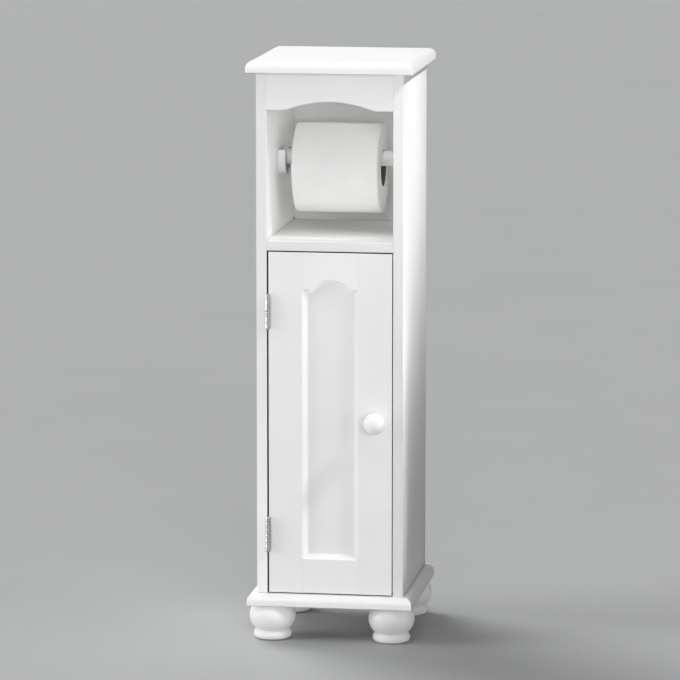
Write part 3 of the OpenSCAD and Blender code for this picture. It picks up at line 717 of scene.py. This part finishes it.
# ---------------------------------------------------------------- toilet roll
def roll_bm():
    """Wound paper: outer face, rounded edges, slightly uneven wound ends, and the bore.
    The outermost sheet ends in a step low at the back."""
    rnd = random.Random(11)
    segs = 192
    half = roll_w / 2
    rr = 2.3
    prof = []                                       # (r, h, on_end) from bore mouth round to bore mouth
    r_in = r_core_out
    nr = 26
    wave = [(rnd.uniform(0.05, 0.22), rnd.uniform(0.5, 3.2), rnd.uniform(0, 6.28)) for _ in range(6)]

    def ring_off(r):
        t = sum(a * math.sin(k * r + p) for a, k, p in wave)
        return t * 0.55
    for i in range(nr + 1):
        r = r_in + (r_roll - rr - r_in) * i / nr
        prof.append((r, -half, "end0"))
    for q in (15, 30, 45, 60, 75, 90):
        a = math.radians(q)
        prof.append((r_roll - rr + rr * math.sin(a), -half + rr - rr * math.cos(a), "edge"))
    for i in range(1, 24):
        prof.append((r_roll, -half + rr + (2 * half - 2 * rr) * i / 24, "side"))
    for q in (0, 15, 30, 45, 60, 75):
        a = math.radians(q)
        prof.append((r_roll - rr + rr * math.cos(a), half - rr + rr * math.sin(a), "edge"))
    for i in range(nr, -1, -1):
        r = r_in + (r_roll - rr - r_in) * i / nr
        prof.append((r, half, "end1"))
    bm = bmesh.new()
    mat_layer = []
    rings = []
    tail = math.radians(215)                        # angle of the outer sheet's end
    for r, h, kind in prof:
        row = []
        for i in range(segs):
            a = 2 * math.pi * i / segs
            rad, hh = r, h
            if r > r_in + 0.5:
                frac = (r - r_in) / (r_roll - r_in)
                out = 0.16 * math.sin(2 * a + 0.7) + 0.10 * math.sin(3 * a + 2.1) + 0.06 * math.sin(5 * a)
                rad += (out - 0.34) * frac
            if kind.startswith("end"):
                sgn = -1 if kind == "end0" else 1
                amp = min(1.0, (r - r_in) / 2.0)
                hh -= sgn * amp * (0.32 + 0.45 * (ring_off(r + 0.10 * math.sin(a + 1.0)) + 0.35 * math.sin(a * 2 + r * 0.15)))
                if sgn * (hh - sgn * half) > 0:
                    hh = sgn * half
            if kind in ("side", "edge"):
                d = (a - tail) % (2 * math.pi)
                if d < math.radians(11):
                    rad -= 0.28 * (1 - d / math.radians(11))
                if kind == "side":
                    rad -= 0.10 * (0.5 + 0.5 * math.sin(h * 0.13 + 1.3 * math.sin(a)))
            row.append(bm.verts.new((rad * math.cos(a), rad * math.sin(a), hh)))
        rings.append(row)
    n = len(rings)
    for k in range(n):
        a, b = rings[k], rings[(k + 1) % n]
        k0, k1 = prof[k][2], prof[(k + 1) % n][2]
        end = 1 if (k0.startswith("end") and k1.startswith("end") and k0 == k1) else 0
        for i in range(segs):
            j = (i + 1) % segs
            f = bm.faces.new((a[i], a[j], b[j], b[i]))
            f.material_index = end
    bm.transform(Matrix.Translation(Vector((x_roll, y_bar, z_roll))) @ Matrix.Rotation(math.radians(90), 4, "Y"))
    return bm


to_obj(roll_bm(), "paper_roll_visual", [TISSUE, SHADED_TISSUE_ENDS], "roll", ("paper_roll",), smooth=70, weighted=False)

half = roll_w / 2
prof = [(r_core_in, -half + 0.25), (r_core_in + 0.3, -half), (r_core_out - 0.2, -half), (r_core_out, -half + 0.2)]
prof += [(r_core_out, -half + 0.2 + (2 * half - 0.4) * i / 8) for i in range(1, 8)]
prof += [(r_core_out, half - 0.2), (r_core_out - 0.2, half), (r_core_in + 0.3, half), (r_core_in, half - 0.25)]
prof += [(r_core_in, half - 0.25 - (2 * half - 0.5) * i / 8) for i in range(1, 8)]
bm = lathe_bm(prof, 128, (x_roll, y_bar, z_roll), "X", closed=True)
to_obj(bm, "roll_core_visual", CARD, "roll", ("roll_core",), smooth=60, weighted=False)


# ---------------------------------------------------------------- door
# The moulding's section, in mm in from the edge and in mm below the face: a small quirk, then an
# even slope that eases into the panel.
OGEE = [(0.0, 0.0), (0.10, 0.45)]
for i in range(1, 15):
    q = i / 14
    e = 0.5 - 0.5 * math.cos(math.pi * q)
    OGEE.append((0.10 + (mould_w - 0.10) * q, 0.45 + (panel_depth - 0.45) * (0.62 * q + 0.38 * e)))
LAYERS = OGEE + [(mould_w, door_t)]


def arch_pts(u, n=28):
    """The top rail's lower edge, run in by u, from left to right."""
    z = tz - u
    r = arch_r - u
    hx = math.sqrt(max(r * r - (z - arch_z) ** 2, 0.0))
    a = math.asin(hx / r)
    return [(dxc + r * math.sin(-a + 2 * a * i / n), arch_z + r * math.cos(-a + 2 * a * i / n))
            for i in range(n + 1)]


def stile_pts(s, u):
    x0 = dx0 if s < 0 else dx1
    xs = sx0 if s < 0 else sx1
    xu = xs + u if s < 0 else xs - u
    return [(x0, dz0), (xs, dz0), (xs, bz), (xu, bz + u), (xu, tz - u), (xs, tz), (xs, dz1), (x0, dz1)]


JOINT = 0.07                                         # a rail stops this far short of the stile
X0, X1 = sx0 + JOINT, sx1 - JOINT


def bottom_pts(u):
    return [(X0, dz0), (X1, dz0), (X1, bz), (X1 - u, bz + u), (X0 + u, bz + u), (X0, bz)]


def top_pts(u):
    arc = arch_pts(u)
    return ([(X0, dz1), (X0, tz), (X0 + u, tz - u)] + arc +
            [(X1 - u, tz - u), (X1, tz), (X1, dz1)])


def member(name, pts_of, mat, outer):
    layers = []
    for u, v in LAYERS:
        layers.append((y_f + v, pts_of(u)))
    bm = layers_bm(layers)
    # the door's outer front arris is eased a little more than the joints
    e = edges_where(bm, lambda a, b: near(a.y, y_f) and near(b.y, y_f) and outer(a) and outer(b))
    round_edges(bm, e, 0.9, 3)
    return to_obj(bm, name + "_visual", mat, "door", (name,), bevel=0.28, segs=2, angle=32)


member("door_hinge_stile", lambda u: stile_pts(-1, u), PAINT_Z, lambda c: near(c.x, dx0))
member("door_lock_stile", lambda u: stile_pts(1, u), PAINT_Z, lambda c: near(c.x, dx1))
member("door_top_rail", top_pts, PAINT_X, lambda c: near(c.z, dz1))
member("door_bottom_rail", bottom_pts, PAINT_X, lambda c: near(c.z, dz0))

k = 1.2
arc = arch_pts(mould_w - k)
pts = ([(sx0 + mould_w - k, bz + mould_w - k), (sx1 - mould_w + k, bz + mould_w - k),
        (sx1 - mould_w + k, tz - mould_w + k)] + list(reversed(arc)) + [(sx0 + mould_w - k, tz - mould_w + k)])
bm = prism_bm(pts, y_panel, y_panel + panel_t)
to_obj(bm, "door_panel_visual", PAINT_Z, "door", ("door_panel",), smooth=40)


def knob_profile():
    R = knob_d / 2
    c = knob_out - R
    pts = [(0, 0), (5, 0), (7.4, 0)]
    pts += [(6.5 + 1.1 * math.cos(math.radians(q)), 1.0 + 1.0 * math.sin(math.radians(q))) for q in (-60, -30, 0, 30, 60)]
    # hollow neck into the ball
    a0 = math.asin(6.3 / R)
    zb = c - R * math.cos(a0)
    pts += [(6.5, 2.05), (6.15, 2.2), (6.1, 2.3)]
    for i in range(0, 37):
        a = a0 + (math.pi - a0) * i / 36
        pts.append((max(R * math.sin(a), 0.0) if i < 36 else 0.0, c - R * math.cos(a)))
    return pts


bm = lathe_bm(knob_profile(), 96, (knob_x, y_f, knob_z), "-Y")
to_obj(bm, "door_knob_visual", PAINT_Y, "door", ("door_knob",), smooth=50, weighted=False)


# ---------------------------------------------------------------- hinges
knuckles, kgap = 6, 0.30
kl = (hinge_l - (knuckles - 1) * kgap) / knuckles


def add_bm(dst, src):
    me = bpy.data.meshes.new("t")
    src.to_mesh(me)
    src.free()
    dst.from_mesh(me)
    bpy.data.meshes.remove(me)


def leaf(name, z, k0, x0, body):
    """Plate in the gap and its own knuckles, each rolled round the pin."""
    plate = box_bm((x0, y_f + 0.0, z - hinge_l / 2), (x0 + leaf_t, y_f + 12.5, z + hinge_l / 2))
    ob = to_obj(plate, name + "_visual", NICKEL, body, (name,), bevel=0, weighted=False, smooth=30)
    cs = []
    for dz in (-14, 0, 14):
        c = lathe_bm([(0, -0.6), (2.9, -0.6), (2.3, 0.0), (1.4, 0.9), (1.2, 2.0), (0, 2.0)], 32, (0, 0, 0), "Z")
        # the countersink opens away from the wood: +X on the frame leaf, -X on the door leaf
        if body == "cabinet":
            c.transform(Matrix.Rotation(math.radians(-90), 4, "Y"))
            px = x0 + leaf_t
        else:
            c.transform(Matrix.Rotation(math.radians(90), 4, "Y"))
            px = x0
        c.transform(Matrix.Translation(Vector((px, y_f + 7, z + dz))))
        bmesh.ops.recalc_face_normals(c, faces=c.faces)
        cs.append(c)
    cut(ob, cs)
    bm = bmesh.new()
    bm.from_mesh(ob.data)
    bmesh.ops.scale(bm, vec=(1000, 1000, 1000), verts=bm.verts)
    R = knuckle_d / 2
    ri = pin_d / 2 + 0.05
    for k in range(k0, knuckles, 2):
        za = z - hinge_l / 2 + k * (kl + kgap)
        b = 0.45
        prof = [(ri, 0.1), (ri + 0.15, 0), (R - b, 0), (R - b * 0.3, b * 0.3), (R, b), (R, b + 0.12),
                (R, kl / 2), (R, kl - b - 0.12), (R, kl - b), (R - b * 0.3, kl - b * 0.3), (R - b, kl),
                (ri + 0.15, kl), (ri, kl - 0.1)]
        add_bm(bm, lathe_bm(prof, 48, (hinge_x, hinge_y, za), "Z", closed=True))
        add_bm(bm, box_bm((x0, hinge_y + R * 0.62, za + 0.05), (x0 + leaf_t, y_f + 0.3, za + kl - 0.05)))
    bmesh.ops.scale(bm, vec=(0.001, 0.001, 0.001), verts=bm.verts)
    bmesh.ops.recalc_face_normals(bm, faces=bm.faces)
    bm.to_mesh(ob.data)
    bm.free()
    for p in ob.data.polygons:
        p.use_smooth = True
    mark_sharp(ob.data, 38)
    return ob


for part, z in hinge_zs.items():
    leaf(part + "_hinge_frame_leaf", z, 0, -xi, "cabinet")
    leaf(part + "_hinge_door_leaf", z, 1, dx0 - leaf_t, "door")


# ---------------------------------------------------------------- CAD pieces that stay
KEEP = {
    "top_dowels": BEECH, "shelf_dowels": BEECH, "valance_dowels": BEECH,
    "foot_bolts": ZINC, "base_screws": ZINC, "back_panel_pins": ZINC, "bar_cup_screws": ZINC,
    "catch_pole_plates": ZINC, "catch_screws": ZINC, "knob_screw": ZINC,
    "strike_plate": ZINC, "strike_screw": ZINC,
    "hinge_frame_screws": NICKEL, "hinge_door_screws": NICKEL,
    "upper_hinge_pin": NICKEL, "lower_hinge_pin": NICKEL,
    "catch_case": PLASTIC, "catch_magnet": MAGNET,
}
for name, mat in KEEP.items():
    ob = NODES[name]
    if len(ob.material_slots) == 0:
        ob.data.materials.append(mat)
    for sl in ob.material_slots:
        sl.material = mat


# ---------------------------------------------------------------- stage, light, camera
def stage_mat():
    m, nt, bsdf = new_mat("stage")
    n = noise(nt, coords(nt), 3.0, 2.0)
    nt.links.new(ramp(nt, n, [(0.3, (0.465, 0.470, 0.474)), (0.7, (0.480, 0.485, 0.489))]), bsdf.inputs["Base Color"])
    bsdf.inputs["Roughness"].default_value = 0.8
    bsdf.inputs["Specular IOR Level"].default_value = 0.2
    return m


STAGE = stage_mat()
bm = bmesh.new()
bmesh.ops.create_grid(bm, x_segments=1, y_segments=1, size=12.0)
me = bpy.data.meshes.new("floor")
bm.to_mesh(me)
bm.free()
floor = bpy.data.objects.new("floor", me)
scene.collection.objects.link(floor)
me.materials.append(STAGE)

world = bpy.data.worlds.new("studio")
scene.world = world
world.use_nodes = True
bg = world.node_tree.nodes["Background"]
bg.inputs["Color"].default_value = (0.93, 0.96, 1.0, 1)
bg.inputs["Strength"].default_value = 0.01


def studio_walls():
    """What the glossy surfaces mirror: a bright room, brighter on the left than on the right."""
    nt = world.node_tree
    tc = nt.nodes.new("ShaderNodeTexCoord")
    sep = nt.nodes.new("ShaderNodeSeparateXYZ")
    nt.links.new(tc.outputs["Generated"], sep.inputs[0])
    r = nt.nodes.new("ShaderNodeValToRGB")
    r.color_ramp.elements[0].position = 0.25
    r.color_ramp.elements[0].color = (1.0, 1.0, 1.0, 1)
    r.color_ramp.elements[1].position = 0.80
    r.color_ramp.elements[1].color = (0.30, 0.305, 0.31, 1)
    m = nt.nodes.new("ShaderNodeMapRange")
    m.inputs["From Min"].default_value = -1.0
    m.inputs["From Max"].default_value = 1.0
    nt.links.new(sep.outputs[0], m.inputs["Value"])
    nt.links.new(m.outputs["Result"], r.inputs["Fac"])
    bright = nt.nodes.new("ShaderNodeBackground")
    bright.inputs["Strength"].default_value = WALLS
    nt.links.new(r.outputs["Color"], bright.inputs["Color"])
    lp = nt.nodes.new("ShaderNodeLightPath")
    mix = nt.nodes.new("ShaderNodeMixShader")
    nt.links.new(lp.outputs["Is Glossy Ray"], mix.inputs[0])
    nt.links.new(bg.outputs[0], mix.inputs[1])
    nt.links.new(bright.outputs[0], mix.inputs[2])
    nt.links.new(mix.outputs[0], nt.nodes["World Output"].inputs[0])


WALLS = 0.75
studio_walls()


def place(name, data, loc, target, hidden=True):
    o = bpy.data.objects.new(name, data)
    scene.collection.objects.link(o)
    o.location = loc
    o.rotation_euler = (Vector(target) - Vector(loc)).to_track_quat("-Z", "Y").to_euler()
    o.visible_camera = not hidden
    return o


def area(name, loc, target, size, power, color=(1, 1, 1), size_y=None, gloss=True):
    d = bpy.data.lights.new(name, "AREA")
    d.energy = power
    d.color = color
    d.size = size
    if size_y:
        d.shape = "RECTANGLE"
        d.size_y = size_y
    o = place(name, d, loc, target)
    o.visible_glossy = gloss
    return o


def spot(name, loc, target, cone, radius, power):
    d = bpy.data.lights.new(name, "SPOT")
    d.energy = power
    d.spot_size = math.radians(cone)
    d.spot_blend = 1.0
    d.shadow_soft_size = radius
    return place(name, d, loc, target)


def group(name, names, state):
    """The objects a light reaches (INCLUDE) or leaves out (EXCLUDE)."""
    c = bpy.data.collections.new(name)
    for n in names:
        c.objects.link(bpy.data.objects[n])
    for co in c.collection_objects:
        co.light_linking.link_state = state
    return c


# The roll and the nook's faces are lit on their own: a wide studio light would leave hard shadows there.
# Several lights leave out the right side panel, the base board and the right-hand feet, so these stay darker.
NO_ROLL = group("no_roll", ["paper_roll_visual"], "EXCLUDE")
NO_SIDE = group("no_side", ["right_side_panel_visual", "base_board_visual", "paper_roll_visual"], "EXCLUDE")
NO_LOW = group("no_low", ["right_side_panel_visual", "base_board_visual", "rear_right_foot_visual",
                          "paper_roll_visual"], "EXCLUDE")
NO_RIGHT = group("no_right", ["right_side_panel_visual", "front_right_foot_visual",
                              "rear_right_foot_visual", "base_board_visual", "floor",
                              "paper_roll_visual"], "EXCLUDE")
BASE = group("base_only", ["base_board_visual"], "INCLUDE")
LOW_RIGHT = group("low_right", ["base_board_visual", "rear_right_foot_visual"], "INCLUDE")
NO_BASE = group("no_base", ["base_board_visual", "rear_right_foot_visual", "paper_roll_visual"], "EXCLUDE")
SIDE = group("side_only", ["right_side_panel_visual"], "INCLUDE")
ROLL = group("roll_only", ["paper_roll_visual"], "INCLUDE")
LEFT = group("left_only", ["left_side_panel_visual"], "INCLUDE")
BACK = group("back_only", ["back_panel_visual"], "INCLUDE")
SHELF = group("shelf_only", ["middle_shelf_visual"], "INCLUDE")
BAR = group("bar_only", ["roll_bar_visual"], "INCLUDE")
CUP = group("cup_only", ["left_bar_cup_visual"], "INCLUDE")
ARCH = group("arch_only", ["door_top_rail_visual"], "INCLUDE")
KNOB = group("knob_only", ["door_knob_visual"], "INCLUDE")
TOP = group("top_only", ["top_board_visual"], "INCLUDE")
HINGE = group("hinge_only", [p + "_hinge_" + q + "_leaf_visual" for p in ("upper", "lower")
                             for q in ("frame", "door")], "INCLUDE")
UPPER = group("upper_only", ["valance_visual", "door_hinge_stile_visual", "door_lock_stile_visual",
                             "door_top_rail_visual", "door_panel_visual", "top_board_visual",
                             "right_side_panel_visual"], "INCLUDE")


def towards(azimuth, elevation):
    """Unit vector to a light. Azimuth is from the front, positive to the object's right."""
    a, e = math.radians(azimuth), math.radians(elevation)
    return Vector((math.sin(a) * math.cos(e), -math.cos(a) * math.cos(e), math.sin(e)))


def sky(name, azimuth, elevation, energy, soft=35.0, to=None):
    """A very soft even light from one side."""
    d = bpy.data.lights.new(name, "SUN")
    d.energy = energy
    d.angle = math.radians(soft)
    o = place(name, d, towards(azimuth, elevation), (0, 0, 0))
    if to:
        o.light_linking.receiver_collection = to
    return o


def beam(name, target, reach, power):
    """A spot along the window light's direction that fades out at reach from its target."""
    o = spot(name, tuple(Vector(target) + towards(74, 48) * 1.8), target,
             2 * math.degrees(math.atan(reach / 1.8)), 0.08, power)
    o.light_linking.receiver_collection = SIDE
    return o


def strip(name, loc, way, sx, sy, power, to=None):
    """A small soft light close to a face, with no reflection of its own."""
    o = area(name, loc, tuple(Vector(loc) + Vector(way)), sx, power, size_y=sy, gloss=False)
    if to:
        o.light_linking.receiver_collection = to
    return o


sky("soft_back_left", -135, 45, 1.958, to=NO_ROLL)
sky("soft_low_left", -75, 10, 1.685, to=NO_ROLL)
sky("soft_high_left", -75, 40, 0.317, to=NO_ROLL)
sky("soft_over", 0, 65, 0.490, to=NO_ROLL)
sky("soft_front", 15, 10, 0.988, to=NO_SIDE)
sky("soft_right", 75, 10, 0.602, to=NO_LOW)
sky("soft_front_right", 44, 3, 0.60, 40, to=NO_RIGHT)
sky("window", 74, 48, 1.10, 6, to=NO_RIGHT)
sky("side_front_edge", -10, 5, 1.005, 10, to=SIDE)
beam("side_window_a", (0.085, -0.08, 0.56), 0.22, 48.3)
beam("side_window_b", (0.085, 0.02, 0.64), 0.20, 117.5)
beam("side_window_c", (0.085, 0.10, 0.64), 0.20, 39.5)
strip("side_low", (0.135, -0.078, 0.26), (-1, 0.15, 0), 0.02, 0.26, 0.0094, SIDE)
strip("side_edge", (0.110, -0.080, 0.22), (-1, 0.10, 0), 0.015, 0.30, 0.019, SIDE)
strip("side_foot", (0.128, 0.000, 0.062), (-1, 0, 0), 0.15, 0.02, 0.0036, SIDE)
strip("side_mid", (0.20, -0.07, 0.38), (-1, 0, 0), 0.03, 0.18, 0.042, NO_ROLL)
strip("side_mid_edge", (0.16, -0.08, 0.45), (-1, 0, 0), 0.02, 0.25, 0.054, NO_ROLL)
o = spot("wide_right", (1.6, -0.15, 0.95), (0.085, -0.34, 0.71), 56, 0.10, 9.4)
o.light_linking.receiver_collection = NO_BASE
sky("base_front", -15, 30, 1.50, to=BASE)
sky("base_right", 62, 10, 0.42, to=LOW_RIGHT)

sky("roll_front", 15, 10, 0.983, to=ROLL)
sky("roll_left", -30, 0, 1.295, 60, to=ROLL)
sky("roll_right", 30, 0, 0.593, 60, to=ROLL)
strip("roll_top", (0, 0, 0.610), (0, 0, -1), 0.10, 0.02, 0.0040, ROLL)
strip("roll_under", (0, -0.01, 0.470), (0, 0, 1), 0.10, 0.02, 0.0012, ROLL)
strip("roll_end", (0.071, 0.015, 0.545), (-1, 0, 0), 0.07, 0.10, 0.0125, ROLL)
sky("bar_front", 10, 6, 0.96, 50, to=BAR)
strip("bar_over", (0.058, -0.005, 0.595), (0, 0.3, -1), 0.02, 0.03, 0.0033, BAR)
strip("bar_under", (0.058, -0.005, 0.501), (0, 0.3, 1), 0.02, 0.03, 0.0044, BAR)
strip("cup_front", (0.0, -0.20, 0.56), (-0.4, 1, 0), 0.05, 0.05, 0.0300, CUP)
strip("nook_left_a", (-0.035, -0.084, 0.54), (0, 1, 0), 0.07, 0.14, 0.0099, LEFT)
strip("nook_left_b", (0.035, -0.084, 0.54), (0, 1, 0), 0.07, 0.14, 0.0663, LEFT)
strip("nook_left_c", (-0.054, 0.02, 0.55), (-1, 0, 0), 0.07, 0.10, 0.0067, LEFT)
strip("nook_left_d", (0.071, 0.085, 0.54), (-1, 0, 0), 0.03, 0.12, 0.0393, LEFT)
strip("nook_shelf_a", (0.035, -0.074, 0.54), (0, 1, 0), 0.07, 0.14, 0.0075, SHELF)
strip("nook_shelf_b", (0, -0.074, 0.495), (0, 1, 0), 0.13, 0.04, 0.0250, SHELF)
strip("nook_shelf_c", (0.071, 0.085, 0.54), (-1, 0, 0), 0.03, 0.12, 0.0176, SHELF)
strip("nook_back_b", (0.066, -0.070, 0.60), (-0.8, 0.5, -0.6), 0.02, 0.02, 0.0805, BACK)
strip("nook_back_c", (0.066, 0.05, 0.55), (0, 1, 0), 0.02, 0.10, 0.0018, BACK)
o = spot("upper_front", (1.9, -1.7, 0.65), (-0.05, -0.05, 0.55), 13, 0.15, 25.3)
o.light_linking.receiver_collection = UPPER
strip("arch_fill", (0, -0.100, 0.360), (0, 0.25, 1), 0.05, 0.01, 0.0075, ARCH)
strip("knob_fill", (0.040, -0.16, 0.200), (0.1, 0.75, 0.65), 0.03, 0.03, 0.0045, KNOB)
strip("left_low", (-0.079, -0.20, 0.115), (0, 1, 0), 0.02, 0.10, 0.0150, LEFT)
sky("top_right", 75, 5, 0.42, 20, to=TOP)
sky("hinge_left", -85, 5, 5.0, 20, to=HINGE)
sky("hinge_over", -20, 78, 4.0, 20, to=HINGE)

cam_d = bpy.data.cameras.new("camera")
cam = bpy.data.objects.new("camera", cam_d)
scene.collection.objects.link(cam)
scene.camera = cam
cam_d.sensor_width = 36.0
cam_d.sensor_fit = "HORIZONTAL"
EYE = Vector((0.78364, -5.18617, 1.15779))
FWD = Vector((-0.14781567, 0.97693666, -0.15409504)).normalized()
UP = Vector((-0.02305301, 0.15236089, 0.98805603)).normalized()
RIGHT = FWD.cross(UP).normalized()
UP = RIGHT.cross(FWD).normalized()
rot = Matrix((RIGHT, UP, -FWD)).transposed()
cam.matrix_world = Matrix.Translation(EYE) @ rot.to_4x4()
cam_d.lens = 241.958
cam_d.clip_end = 60.0

scene.view_settings.view_transform = "Standard"
scene.view_settings.look = "None"
scene.view_settings.exposure = 0.0
scene.view_settings.gamma = 1.0


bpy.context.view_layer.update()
